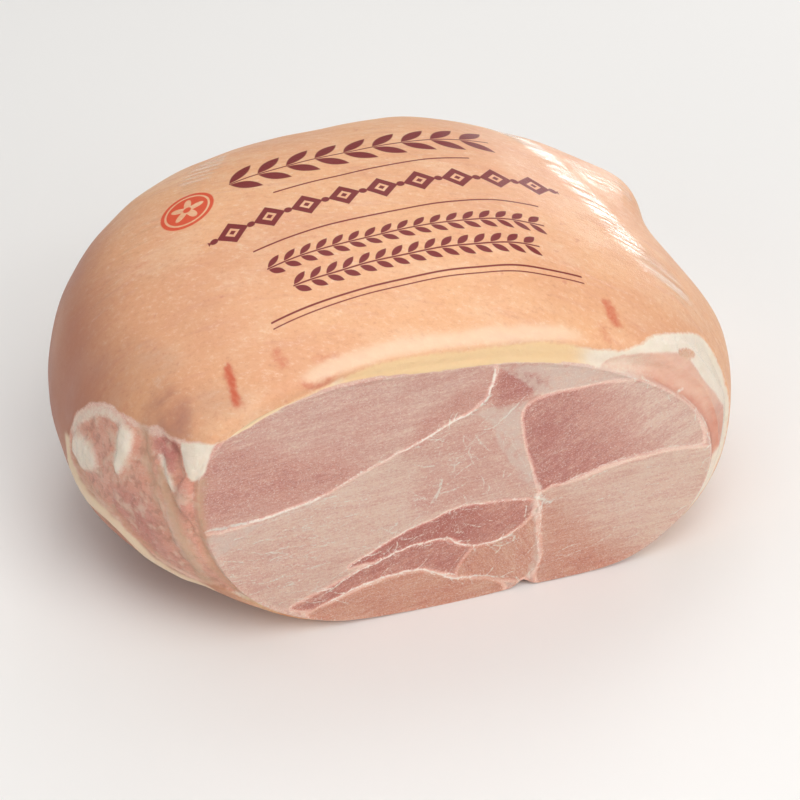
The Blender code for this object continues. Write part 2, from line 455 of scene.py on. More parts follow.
body = bmesh.new()
rings = len(TRAY_RINGS) + RIM_RINGS + SIDE_RINGS + BUTT_RINGS
bmesh.ops.create_uvsphere(body, u_segments=SEGMENTS, v_segments=rings, radius=1.0)
sphere = np.array([vert.co[:] for vert in body.verts], float)
body_angle = np.arctan2(sphere[:, 1], sphere[:, 0])
body_index = np.rint(np.arccos(np.clip(sphere[:, 2], -1, 1)) / math.pi * rings)
body_at = body_points(body_angle, body_index)
print("body:", len(body_at), "points, spans in metres", np.round(np.ptp(body_at, axis=0), 4))

# The loft is measured from its own corner; this brings it over the loaded ham, a hair inside it.
HOME = (body_at.min(axis=0) + body_at.max(axis=0)) / 2
HOME[2] = 0.0
FIT = np.minimum((np.array(cad_box[1]) - np.array(cad_box[0])) / np.ptp(body_at, axis=0), 1.0)
print("fit to the loaded ham:", np.round(FIT, 4))


def place_verts(shape, points):
    for vert, point in zip(shape.verts, (points - HOME) * FIT):
        vert.co = point


place_verts(body, body_at)
bmesh.ops.recalc_face_normals(body, faces=body.faces)
print("body:", len(body.faces), "faces")

# %% [markdown]
# ## The muscles of the cut
# A ham has four or five great muscles, and a cut shows each in its own colour with its own grain.
# Each one here is an outline, how lean and how warm its colour is, how soft its border is, and the
# direction that its fibres run in, in degrees. Later ones lie over earlier ones.

# %% Muscles
MUSCLES = (
    # name, outline, lean, warm, border, grain
    ("top_round", ((-80, 104), (-62, 113), (-45, 120), (-25, 125), (0, 124), (20, 122), (38, 119),
                   (37, 108), (31, 100), (15, 92), (0, 86), (-10, 81), (-30, 73), (-48, 68.5), (-83, 66)),
     0.38, 0.12, 3, 4),
    ("top_round_deep", ((-82, 69), (-80, 99), (-62, 101), (-36, 91), (-16, 84), (-34, 74), (-56, 70)),
     0.64, 0.20, 14, 2),
    ("top_round_tip", ((2, 86), (10, 98), (24, 108), (37, 110), (35, 101), (24, 97), (12, 92)),
     0.62, 0.2, 9, 30),
    ("cap", ((38, 101), (40, 115), (50, 115), (60, 107), (56, 100), (46, 97.5), (39, 98)),
     0.95, 0.2, 10, 50),
    ("flank", ((-82, 46), (-66, 54), (-44, 50), (-22, 36), (-32, 22), (-48, 13), (-66, 22), (-79, 36)),
     0.28, 0.25, 14, 2),
    ("heart", ((4, 85), (20, 92), (33, 95), (43, 88), (49, 76), (56, 62), (57, 53), (46, 50), (28, 53),
               (12, 51), (6, 62), (10, 75)), 0.40, 0.20, 12, 55),
    ("eye_round", ((53, 96), (60, 98.5), (70, 100), (85, 100), (100, 98.5), (109, 95), (118, 87), (126, 77),
                   (130, 67), (130, 58), (112, 59), (92, 57.5), (78, 55), (61.5, 50.5), (58, 58), (54, 72),
                   (51.5, 88)), 0.86, 0.15, 1.6, 28),
    ("silverside", ((60.5, 50), (74, 53), (92, 56), (112, 58), (134, 56), (138, 48), (134, 34), (124, 18),
                    (112, 7), (95, -2), (62, -2), (61, 20), (60, 40)), 0.20, 0.30, 2, 4),
    ("silverside_low", ((60, 42), (68, 40), (80, 28), (96, 14), (106, 2), (98, -12), (60, -12)),
     0.56, 0.85, 30, 8),
    ("wedge_upper", ((-22, 31), (-10, 37.5), (2, 43.5), (14, 47.5), (24, 50.5), (36, 50), (50, 48),
                     (58, 45), (56, 38), (50, 32), (40, 28.5), (30, 29.5), (22, 34.5), (8, 35.5), (-6, 32)),
     1.12, 0.44, 1.6, 24),
    ("wedge_lower", ((-46, 15.5), (-32, 22), (-18, 28), (0, 34), (18, 35), (30, 29), (38, 28), (33, 22),
                     (26, 15), (18, 18.5), (8, 22.5), (-8, 22), (-24, 17.5), (-38, 12.5)),
     0.82, 0.44, 1.6, 16),
    ("foot", ((-40, 10), (-26, 15.5), (-8, 21), (6, 22), (18, 17), (26, 13), (42, 7), (46, 0), (30, -5),
              (0, -6), (-24, -2)), 0.50, 0.95, 3, 6),
    ("fan", ((24, 15), (31, 27), (40, 28), (52, 33), (58, 38), (60, 26), (60, 8), (52, 4), (40, 8),
             (30, 12)),
     0.50, 0.90, 4, -62),
)
JELLY = (
    ((38, 118), (57, 117), (75, 113), (94, 106), (108, 97), (118, 87), (108, 93), (96, 98.5), (74, 99.5),
     (56, 98.5), (53, 103), (44, 113)),
    ((33, 100), (44, 99), (54, 99), (51.5, 90), (52.5, 79), (56.5, 65), (62, 51), (53, 54), (47, 65),
     (41, 77), (39, 87), (32, 95)),
    ((55, 44), (61, 46), (61, 6), (55, 5), (57, 26)),
    ((-84, 62), (-70, 64), (-52, 66), (-60, 60), (-80, 48), (-82, 54)),
    ((-105, 78), (-99, 78), (-93, 62), (-87, 46), (-84, 32), (-90, 30), (-97, 44), (-102, 60)),
)

# %% [markdown]
# ## Sinew between the muscles
# Each muscle is wrapped in a thin white sheet, and the cut shows it as a line. The lines are paths
# on the map with a width in millimetres and a strength. They waver a little and thin out at their
# ends, as the real ones do.

# %% Sinews
SINEWS = (
    (((-84, 65.5), (-68, 66), (-54, 67), (-40, 69.5), (-28, 73.5)), 1.6, 0.8),
    (((-72, 62), (-56, 64.5), (-42, 67), (-30, 70), (-22, 70)), 2.2, 0.4),
    (((-34, 71.5), (-16, 79), (-6, 83.5), (5, 88), (15, 92)), 0.6, 0.75),
    (((8, 89.5), (15, 92), (26, 96.5), (34, 100)), 0.9, 0.95),
    (((32, 99), (36, 104), (38, 111), (38.5, 119)), 1.0, 0.95),
    (((33, 100), (40, 98.5), (48, 98), (55, 98.5), (66, 100.5), (80, 101), (94, 100), (104, 97)), 0.6, 0.3),
    (((30, 97), (38, 93), (44, 86), (48, 78), (52, 67), (57, 57), (61, 51)), 0.8, 0.45),
    (((52, 96), (51.3, 88), (53, 76), (56.5, 62), (60.5, 51)), 0.7, 0.3),
    (((-48, 16), (-35, 23.5), (-22, 31), (-10, 38), (2, 44), (12, 47.5), (24, 50.8), (40, 50),
      (52, 47.5), (60, 45)), 0.55, 0.75),
    (((-42, 14), (-30, 21), (-20, 27), (-8, 31), (2, 34.5), (18, 35.8), (25, 32), (32, 29), (40, 28.5),
      (48, 30.5), (57, 39)), 0.7, 0.9),
    (((-40, 11), (-28, 16), (-18, 19.7), (-8, 22), (3, 23), (12, 21), (20, 15.5), (25, 13.3),
      (34, 11.5), (44, 8), (54, 6)), 0.8, 0.9),
    (((61, 53), (59.2, 44), (60.6, 34), (59.8, 22), (60.4, 12), (57, 7), (54, 3)), 0.6, 0.7),
    (((58, 49), (60, 46.5), (63, 44), (66, 43)), 2.6, 0.8),
    (((92, 104), (98, 99.5), (106, 95.5), (114, 90.5), (121, 85), (127, 78), (131, 71), (132.7, 63),
      (134.5, 54), (136.5, 46)), 0.6, 0.9),
    (((60, 51), (70, 53), (80, 56), (94, 58.5), (108, 60), (122, 59.5), (133, 57)), 1.1, 0.5),
    (((62, 10.5), (74, 12.5), (86, 15.5), (98, 19.5)), 0.45, 0.55),
    (((9, 85), (13, 77), (19, 73), (22, 66), (23, 58), (26, 51)), 0.45, 0.5),
    (((19, 73), (26, 74.5), (33, 79), (36, 84)), 0.4, 0.45),
    (((41, 27.5), (45, 29.8), (50, 28.6), (48, 26), (43, 25.6), (41, 27.5)), 0.5, 0.95),
    (((24, 51), (23, 46), (25, 40), (24, 34)), 0.45, 0.6),
    (((2, 44), (0, 39), (-3, 34)), 0.4, 0.4),
    (((20, 16), (24, 22), (30, 29)), 0.5, 0.55),
    (((-28, 73.5), (-32, 68), (-40, 64), (-56, 62)), 0.5, 0.4),
    (((-78, 100), (-66, 106), (-56, 112)), 0.5, 0.5),
)


# %% Side branches and wrinkles
WRINKLED = (
    # left, right, low and high of the patch, how many, steepest slope in radians
    (-79, -34, 18, 62, 70, 0.35),
    (-60, 0, 40, 74, 26, 0.5),
    (4, 44, 54, 92, 46, 1.5),
    (-20, 36, 30, 50, 18, 0.8),
    (62, 118, 6, 52, 18, 0.4),
)


def short_lines():
    """Fine side branches on the sinews, and dry white wrinkles in patches of the cut."""
    random = np.random.default_rng(8)
    lines = []
    for stations, width, strength in SINEWS[1:]:
        path = smooth_path(stations, steps=3) / MM
        for at in range(1, len(path) - 1, 2):
            run = path[at] - path[at - 1]
            heading = math.atan2(run[1], run[0]) + random.choice([-1, 1]) * random.uniform(0.4, 1.1)
            length = random.uniform(2, 9)
            bend = random.uniform(-0.7, 0.7)
            first = path[at] + 0.5 * length * np.array([math.cos(heading), math.sin(heading)])
            last = first + 0.5 * length * np.array([math.cos(heading + bend), math.sin(heading + bend)])
            lines.append(((path[at], first, last), 0.42, strength))
    for left, right, low, high, many, steepest in WRINKLED:
        for number in range(many):
            start = np.array([random.uniform(left, right), random.uniform(low, high)])
            slope = random.uniform(-steepest, steepest)
            run = random.uniform(4, 14) * np.array([math.cos(slope), math.sin(slope)])
            wave = random.uniform(-1.4, 1.4) * np.array([-math.sin(slope), math.cos(slope)])
            lines.append(((start, start + run / 2 + wave, start + run), 0.46, random.uniform(0.5, 1.0)))
    return lines


FINE_LINES = short_lines()
print(len(FINE_LINES), "fine lines")

# %% [markdown]
# ## Masks for the materials
# The map gives every point of the meshes a few numbers from 0 to 1: how lean and how warm it is,
# how near a sinew, whether it is jelly, fat or torn wall. They are kept on the points, because a
# point every half millimetre is fine enough for soft shapes, and the materials add what is finer.

# %% Colours of the muscles
HARD_BORDER = 5


def tint(paint, redness, warmth, share):
    """Move how lean and how warm each point is towards new values, by its share."""
    paint["lean"] += (redness - paint["lean"]) * share
    paint["warm"] += (warmth - paint["warm"]) * share


def paint_muscles(paint, places, bent):
    """The colour of each muscle, its grain's own coordinates, and the seams between them."""
    count = len(places)
    paint["lean"] = np.full(count, 0.20)
    paint["warm"] = np.full(count, 0.22)
    turned = np.radians(np.full(count, 3.0))
    layer = np.zeros(count)
    seam = np.zeros(count)
    for number, (name, stations, redness, warmth, border, angle) in enumerate(MUSCLES):
        inside = depth_in(bent, stations, 20 * MM)
        share = ramp(inside, -border * MM / 2, border * MM / 2)
        if name == "eye_round":
            redness = redness - 0.64 * ramp(places[:, 0] + 0.6 * places[:, 1], 112 * MM, 164 * MM)
        if name == "wedge_upper":
            redness = redness - 0.35 * ramp(places[:, 0], 16 * MM, 46 * MM)
        tint(paint, redness, warmth, share)
        if border <= HARD_BORDER:
            over = inside > 0
            turned[over] = math.radians(angle)
            layer[over] = number + 1
            seam = np.maximum(seam * (1 - share), ramp(np.abs(inside), 1.0 * MM, 0.5 * MM))
    along = places[:, 0] * np.cos(turned) + places[:, 1] * np.sin(turned)
    across = places[:, 1] * np.cos(turned) - places[:, 0] * np.sin(turned)
    paint["grain"] = np.stack([along, across, layer * 31 * MM], axis=1)
    paint["seam"] = seam


# %% Colours of the wall and the lip
def paint_sides(paint, places, bent):
    """The torn wall on the left, and the pink band, redder by the cut and lower down."""
    wall = ramp(depth_in(bent, WALL), -1 * MM, 1.5 * MM)
    tint(paint, 0.44, 0.88, wall)
    for stations, redness, warmth, border in WALL_MUSCLES:
        inside = depth_in(bent, stations, 20 * MM)
        tint(paint, redness, warmth, wall * ramp(inside, -border * MM / 2, border * MM / 2))
    pink = ramp(depth_in(bent, PINK_BAND), -1.5 * MM, 2.5 * MM)
    near_seam, _ = gap_to(bent, smooth_path(PINK_BAND[:11]), 9 * MM)
    by_seam = ramp(near_seam, 6 * MM, 1 * MM) * ramp(places[:, 0], 92 * MM, 112 * MM)
    tint(paint, 0.26 + 0.22 * by_seam + 0.24 * ramp(places[:, 1], 80 * MM, 58 * MM), 0.85, pink)
    paint["calm"] = np.maximum(pink, 0.6 * wall)
    paint["torn"] = wall
    return wall, pink


# %% Sinew and jelly
def paint_sinew(paint, bent):
    sinew = np.zeros(len(bent))
    for stations, width, strength in list(SINEWS) + FINE_LINES:
        gap, along = gap_to(bent, smooth_path(stations), 4 * MM)
        ends = 0.25 + 0.75 * ramp(along, 0, 0.15) * ramp(along, 1, 0.85)
        line = np.exp(-(gap / (width * 0.56 * MM)) ** 2)
        sinew = np.maximum(sinew, strength * line * ends)
    jelly = np.zeros(len(bent))
    for stations in JELLY:
        jelly = np.maximum(jelly, ramp(depth_in(bent, stations), -1.5 * MM, 2.5 * MM))
    paint["sinew"] = sinew
    paint["jelly"] = jelly


# %% Fat, membrane and tanned sheets
def paint_fat(paint, places, bent, wall, pink):
    """Fat round the cut, yellower on top, and on the knobs and lips; then what covers it."""
    x, z = places[:, 0], places[:, 1]
    rim = ramp(depth_in(bent, MEAT_EDGE), 0.5 * MM, -0.5 * MM)
    fat = rim * (1 - wall) * (1 - pink) * ramp(x, -86 * MM, -78 * MM)
    yellow = ramp(x, -36 * MM, -16 * MM) * ramp(x, 86 * MM, 68 * MM) * ramp(z, 80 * MM, 100 * MM)
    left_rim = ramp(x, -72 * MM, -64 * MM) * ramp(x, -20 * MM, -30 * MM)
    paint["yellow"] = np.maximum(yellow, 0.7 * left_rim)
    for name, (soft, full) in FAT_KNOBS.items():
        inside = depth_in(bent, KNOBS[name])
        fat = np.maximum(fat, full * ramp(inside, -soft * MM, soft * MM))
    bridge, along = gap_to(bent, smooth_path(MEMBRANE), 12 * MM)
    ends = ramp(along, 0, 0.1) * ramp(along, 1, 0.9)
    fat = np.maximum(fat, 0.58 * ramp(bridge, 6 * MM, 1 * MM) * ends)
    fat = np.maximum(fat, 0.52 * pink * ramp(x, 122 * MM, 98 * MM))
    hole = ramp(depth_in(bent, HOLE), -1 * MM, 1 * MM)
    fat *= 1 - 0.85 * hole
    tint(paint, 0.25, 1.0, hole)
    tan = np.zeros(len(places))
    for stations, width, strength in SHEETS:
        gap, _ = gap_to(bent, smooth_path(stations), 12 * MM)
        tan = np.maximum(tan, strength * np.exp(-(gap / (width * MM)) ** 2))
    paint["fat"] = fat
    paint["tan"] = np.maximum(tan * (1 - ramp(fat, 0.5, 1.0)), 0.5 * hole)


# %% All of them together
def paint_map(places):
    """Masks from 0 to 1, and the grain's own coordinates, for points of the map."""
    bend = np.stack([wander(places, 17 * MM, 3), wander(places, 17 * MM, 4)], axis=1)
    fine = np.stack([wander(places, 4 * MM, 5), wander(places, 4 * MM, 6)], axis=1)
    bent = places + bend * 1.3 * MM + fine * 0.6 * MM
    paint = {"bare": depth_in(bent, RIND_EDGE)}
    paint_muscles(paint, places, bent)
    wall, pink = paint_sides(paint, places, bent)
    paint_sinew(paint, bent)
    paint_fat(paint, places, bent, wall, pink)
    return paint


# %% [markdown]
# ## The cut face's mesh
# A grid keeps its squares small to the very edge, which a disc of rings does not, so the face
# starts as a grid. Each point of the square is drawn into a circle and then out to the face's
# outline. Its border is extruded back into the body's tray and closed behind. Sinew stands a
# little proud of the lean meat, which shrinks as it dries, and the knife has left faint waves.

# %% Shape the cut face
GRID_ACROSS = 404
GRID_UP = 236
FACE_HALF = (110 * MM, 66 * MM)
FACE_DEEPEST = 0.85 * MM

face = bmesh.new()
bmesh.ops.create_grid(face, x_segments=GRID_ACROSS, y_segments=GRID_UP, size=1.0)
square = np.array([vert.co[:2] for vert in face.verts], float)
disc = square * np.sqrt(1 - square[:, ::-1] ** 2 / 2)
oval = disc * FACE_HALF
face_angle = np.arctan2(oval[:, 1], oval[:, 0])
outline = around(CUT_RADII, face_angle) - around(FACE_INSET, face_angle)
half_across, half_up = FACE_HALF
reach_across = half_up * np.cos(face_angle)
reach_up = half_across * np.sin(face_angle)
oval_radius = half_across * half_up / np.hypot(reach_across, reach_up)
on_cut = oval * (outline / oval_radius)[:, None] + (AXIS_X, AXIS_Z)
on_cut[:, 1] = soft_floor(on_cut[:, 1], 0.0, FOOT_EDGE)
on_cut[:, 1] = lift_notch(np.insert(on_cut, 1, 0.0, axis=1))[:, 2]

face_paint = paint_map(on_cut)
inward = ramp(1 - np.linalg.norm(disc, axis=1), 0, 0.03)
waves = 0.5 + 0.25 * wander(on_cut, 28 * MM, 7) + 0.12 * wander(on_cut, 7 * MM, 8)
dip = inward * FACE_DEEPEST * np.clip(waves - 0.35 * face_paint["sinew"] - 0.1 * face_paint["fat"], 0, 1)
face_at = np.stack([on_cut[:, 0], dip, on_cut[:, 1]], axis=1)
place_verts(face, face_at)
print("cut face:", len(face_at), "points, relief to", round(float(dip.max() / MM), 2), "mm")

# %% Close it behind
BACK_SIZE = 0.993
BACK_DEPTH = 0.9 * TRAY_DEPTH

border = [edge for edge in face.edges if edge.is_boundary]
rim = bmesh.ops.extrude_edge_only(face, edges=border)["geom"]
back = [item for item in rim if isinstance(item, bmesh.types.BMVert)]
middle = Vector((AXIS_X - HOME[0], 0.0, AXIS_Z - HOME[2]))
for vert in back:
    vert.co = middle + (vert.co - middle) * BACK_SIZE
    vert.co.y = (BACK_DEPTH - HOME[1]) * FIT[1]
back_edges = [edge for edge in face.edges if edge.is_boundary]
bmesh.ops.contextual_create(face, geom=back_edges)
bmesh.ops.recalc_face_normals(face, faces=face.faces)
print("closed face:", len(face.faces), "faces")

# %% [markdown]
# ## From bmesh to pieces
# The masks become attributes of the points, and the materials read them. Both pieces stand in for
# the one solid, which is hidden, and ride on its body; their materials are made below.

# %% Make the pieces
def add_attributes(mesh, fields, count):
    for name, values in fields.items():
        kind = "FLOAT_VECTOR" if np.ndim(values) == 2 else "FLOAT"
        filled = np.zeros((len(mesh.vertices),) + np.shape(values)[1:])
        filled[:count] = values
        layer = mesh.attributes.new(name, kind, "POINT")
        layer.data.foreach_set("vector" if kind == "FLOAT_VECTOR" else "value", filled.ravel())


def make_piece(name, shape, fields, count):
    mesh = bpy.data.meshes.new(name)
    shape.to_mesh(mesh)
    shape.free()
    add_attributes(mesh, fields, count)
    mesh.shade_smooth()
    mesh.set_sharp_from_angle(angle=math.radians(55))
    piece = bpy.data.objects.new(name, mesh)
    bpy.context.scene.collection.objects.link(piece)
    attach(piece, "root")
    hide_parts("ham")
    triangles = sum(len(polygon.vertices) - 2 for polygon in mesh.polygons)
    print(name, triangles, "triangles")
    return piece


# %% [markdown]
# ## Marks on the rind
# A ham's skin is never one colour. Where it was pressed it has red bruises, over muscle it is mauve,
# and it is wet only in streaks. Along the cut a pale band is painted, partly as painted sheen on the
# rim's rounding. Towards the left, the back and the bottom the rind is painted browner and darker:
# partly a browner tone over the shank, partly painted shade on the side turned from the lamps.
# Bruises and wet streaks are paths on the map. The brown tone and painted shade go by the place on
# the body itself, because nothing that is seen from behind may follow the map, which stretches
# without end there.

# %% Paths of the marks
BLUSHES = (
    # stations, width, strength
    (((-81, 144), (-78, 139), (-74, 133), (-69, 127), (-63, 121)), 2.5, 1.0),
    (((-60, 148), (-53, 142), (-47, 136)), 3.2, 0.55),
    (((-42, 131), (-36, 127), (-30, 128), (-24, 130)), 3.2, 0.62),
    (((-40, 140), (-32, 139), (-24, 140)), 3.0, 0.45),
    (((109, 142), (105, 136), (101, 129), (99, 122)), 4.6, 0.72),
    (((93, 134), (90, 124), (87, 117)), 4.0, 0.45),
    (((-26, 240), (10, 234), (40, 228), (79, 216), (103, 203)), 1.6, 0.35),
    (((-150, 190), (-158, 180), (-163, 172)), 2.0, 0.5),
    (((-118, 196), (-114, 190)), 3.0, 0.3),
    (((-104, 214), (-96, 210)), 3.0, 0.25),
)
# Path of a pale band along the cut, partly painted sheen on the rim's rounding.
PALE_SHEEN_BAND = ((-44, 128), (-26, 134), (0, 138), (23, 137), (44, 134.5), (66, 130), (86, 122))
WET_PATHS = (
    # stations, reach, strength
    (((199, 246), (191, 221), (183, 202), (178, 181), (171, 161), (169, 142), (173, 125)), 15, 1.0),
    (((206, 190), (214, 177), (230, 162)), 12, 0.6),
    (((100, 109), (107, 106.5), (114, 103)), 5, 0.9),
    (((-143, 232), (-134, 245), (-126, 256)), 12, 0.7),
    (((-158, 204), (-170, 186), (-182, 150)), 10, 0.35),
)
TINTED = (
    (-178, 108), (-170, 140), (-145, 160), (-116, 154), (-92, 142), (-64, 136), (-60, 120), (-84, 112),
    (-124, 110), (-150, 114),
)
MAUVE = ((-124, 112), (-120, 124), (-108, 132), (-96, 128), (-90, 116), (-92, 108), (-106, 106))

# %% Bruises, pale band with painted sheen, mauve and cream
places = front_map(body_at)
body_paint = paint_map(places)
blush = np.zeros(len(places))
shake = np.stack([wander(places, 6 * MM, 11), wander(places, 6 * MM, 12)], axis=1)
bent_places = places + shake * 1.2 * MM
for stations, width, strength in BLUSHES:
    gap, along = gap_to(bent_places, smooth_path(stations), 10 * MM)
    ends = ramp(along, 0, 0.25) * ramp(along, 1, 0.75)
    blush = np.maximum(blush, strength * (0.3 + 0.7 * ends) * np.exp(-(gap / (width * MM)) ** 2))
# Painted sheen: the pale band above the cut stands partly for light caught on the rim's rounding.
pale_gap, pale_along = gap_to(bent_places, smooth_path(PALE_SHEEN_BAND), 16 * MM)
pale = np.exp(-(pale_gap / (5.5 * MM)) ** 2) * ramp(pale_along, 0, 0.1) * ramp(pale_along, 1, 0.85)
mauve = ramp(depth_in(bent_places, MAUVE, 20 * MM), -13 * MM, 7 * MM)
mauve = np.maximum(mauve, 0.56 * ramp(depth_in(bent_places, TINTED, 20 * MM), -10 * MM, 12 * MM))
lower_lip, _ = gap_to(bent_places, smooth_path(LOWER_LIP), 9 * MM)
cream = ramp(lower_lip, 8 * MM, 3 * MM)

# %% Brown tone and painted shade, wet streaks and the streaks' own coordinates
# Painted shade: the rind is painted browner and darker towards the left, the back and the bottom, where it
# turns from the lamps; partly it is a browner tone too.
leftness = body_at[:, 0] - 0.2 * body_at[:, 1] + 0.5 * body_at[:, 2]
clouds = np.array([noise.noise(Vector(point) / (38 * MM)) for point in body_at])
brown_and_shade = ramp(leftness + 12 * MM * clouds, -14 * MM, -94 * MM) * (0.85 + 0.3 * clouds)
wet = np.zeros(len(places))
for stations, reach, strength in WET_PATHS:
    gap, _ = gap_to(places, smooth_path(stations), reach * MM)
    wet = np.maximum(wet, strength * ramp(gap, reach * MM, 0.3 * reach * MM))
wet = np.maximum(wet, 0.5 * ramp(body_paint["bare"], 0, 3 * MM))
# Streaks follow the girth, a little aslant: they run across the third coordinate alone.
wrap = np.stack([body_at[:, 0], body_at[:, 2], body_at[:, 1] + 0.35 * body_at[:, 0]], axis=1)

# %% The two pieces
marks = {"blush": blush, "pale": pale, "mauve": mauve, "brown_and_shade": brown_and_shade, "cream": cream, "wet": wet}
print("mean of each mark:", {name: round(float(values.mean()), 3) for name, values in marks.items()})
body_paint.update(marks, wrap=wrap)

rind_body = make_piece("rind_and_wall", body, body_paint, len(body_at))
cut_face = make_piece("cut_face", face, face_paint, len(face_at))

# %% [markdown]
# ## Materials: one way to add a node
# A material is a net of small nodes. `add` makes any of them, with its settings and its inputs, and
# returns one of its outputs. Colours are hex codes, as a colour picker gives them, made linear.
# What repeats in a material is a table: soft noises by their size in millimetres, and colours
# laid one over another, each through its own mask.

# %% Nodes, noises and layers of colour
def linear(code):
    channels = [int(code[at:at + 2], 16) / 255 for at in (1, 3, 5)]
    return tuple(c / 12.92 if c <= 0.04045 else ((c + 0.055) / 1.055) ** 2.4 for c in channels) + (1.0,)


def add(tree, kind, inputs, out=0, **settings):
    """Add one node. Its inputs, by name or number, are values, hex codes or another node's output."""
    node = tree.nodes.new("ShaderNode" + kind)
    for name, value in settings.items():
        setattr(node, name, value)
    for key, value in inputs.items():
        socket = node.inputs[key]
        if isinstance(value, bpy.types.NodeSocket):
            tree.links.new(value, socket)
        else:
            socket.default_value = linear(value) if isinstance(value, str) else value
    return node.outputs[out]


def new_material(name):
    material = bpy.data.materials.new(name)
    material.use_nodes = True
    tree = material.node_tree
    return material, tree, tree.nodes["Principled BSDF"]


def make_patterns(tree, places, table):
    """Noises by name: where they lie, their size in millimetres, their stretch and their detail."""
    patterns = {}
    for name, place, size, stretch, detail, roughness in table:
        scale = [1 / (size * MM * part) for part in stretch]
        spot = add(tree, "Mapping", {"Vector": places[place], "Scale": scale})
        patterns[name] = add(tree, "TexNoise", {"Vector": spot, "Scale": 1.0, "Detail": detail,
                                                "Roughness": roughness})
    return patterns


def weigh_up(tree, start, parts):
    """start plus each pattern by its weight; a pattern's own middle, 0.5, adds nothing."""
    total = add(tree, "Math", {0: start, 1: -0.5 * sum(weight for _, weight in parts)}, operation="ADD")
    for pattern, weight in parts:
        total = add(tree, "Math", {0: pattern, 1: weight, 2: total}, operation="MULTIPLY_ADD")
    return total


def lay_colours(tree, colour, layers):
    """Lay colours over one another: mask, where it starts, where it is full, its share, the colour."""
    for mask, start, full, share, tone in layers:
        amount = add(tree, "MapRange", {0: mask, 1: start, 2: full, 4: share},
                     interpolation_type="SMOOTHSTEP")
        colour = add(tree, "Mix", {0: amount, 6: colour, 7: tone}, 2, data_type="RGBA")
    return colour


def read_fields(tree, masks, places):
    """Masks and places that the meshes carry, by name, and Object coordinates."""
    fields = {name: add(tree, "Attribute", {}, "Fac", attribute_name=name) for name in masks}
    for name in places:
        fields[name] = add(tree, "Attribute", {}, "Vector", attribute_name=name)
    fields["object"] = add(tree, "TexCoord", {}, "Object")
    return fields


# %% [markdown]
# ## Lean meat, jelly, sinew and fat
# Cooked, cured pork is a wet protein gel: pale pink to mauve, matt between fine wet glints, and a
# little light goes some millimetres in. The glints come from the bump and partly from near-white
# flecks painted into the colour as painted glints. The grain coordinates turn with each muscle, so
# one streaky noise gives every muscle fibres in its own direction.

# %% Cooked meat colours
MEAT_MASKS = ("lean", "warm", "sinew", "jelly", "fat", "yellow", "tan", "seam", "calm", "torn")
MEAT_PATTERNS = (
    # name, place, size in mm, stretch, detail, roughness
    ("blotches", "grain", 10.0, (1.4, 1, 1), 4, 0.60),
    ("bands", "grain", 4.0, (9, 1, 1), 3, 0.55),
    ("bundles", "grain", 2.6, (3, 1, 1), 4, 0.60),
    ("fibres", "grain", 0.8, (2.0, 1, 1), 4, 0.90),
    ("strands", "grain", 0.9, (9, 1, 1), 3, 0.60),
    ("haze", "grain", 2.6, (2.2, 1, 1), 6, 0.90),
    # flecks: pale specks, also drawn near-white in the colour as painted glints
    ("flecks_and_glints", "object", 0.75, (1, 1, 1), 3, 0.85),
    ("cloud", "object", 3.5, (1, 1, 1), 4, 0.50),
    ("breaks", "object", 1.5, (1, 1, 1), 4, 0.75),
    ("curds", "object", 6.0, (1, 1, 1), 4, 0.50),
)


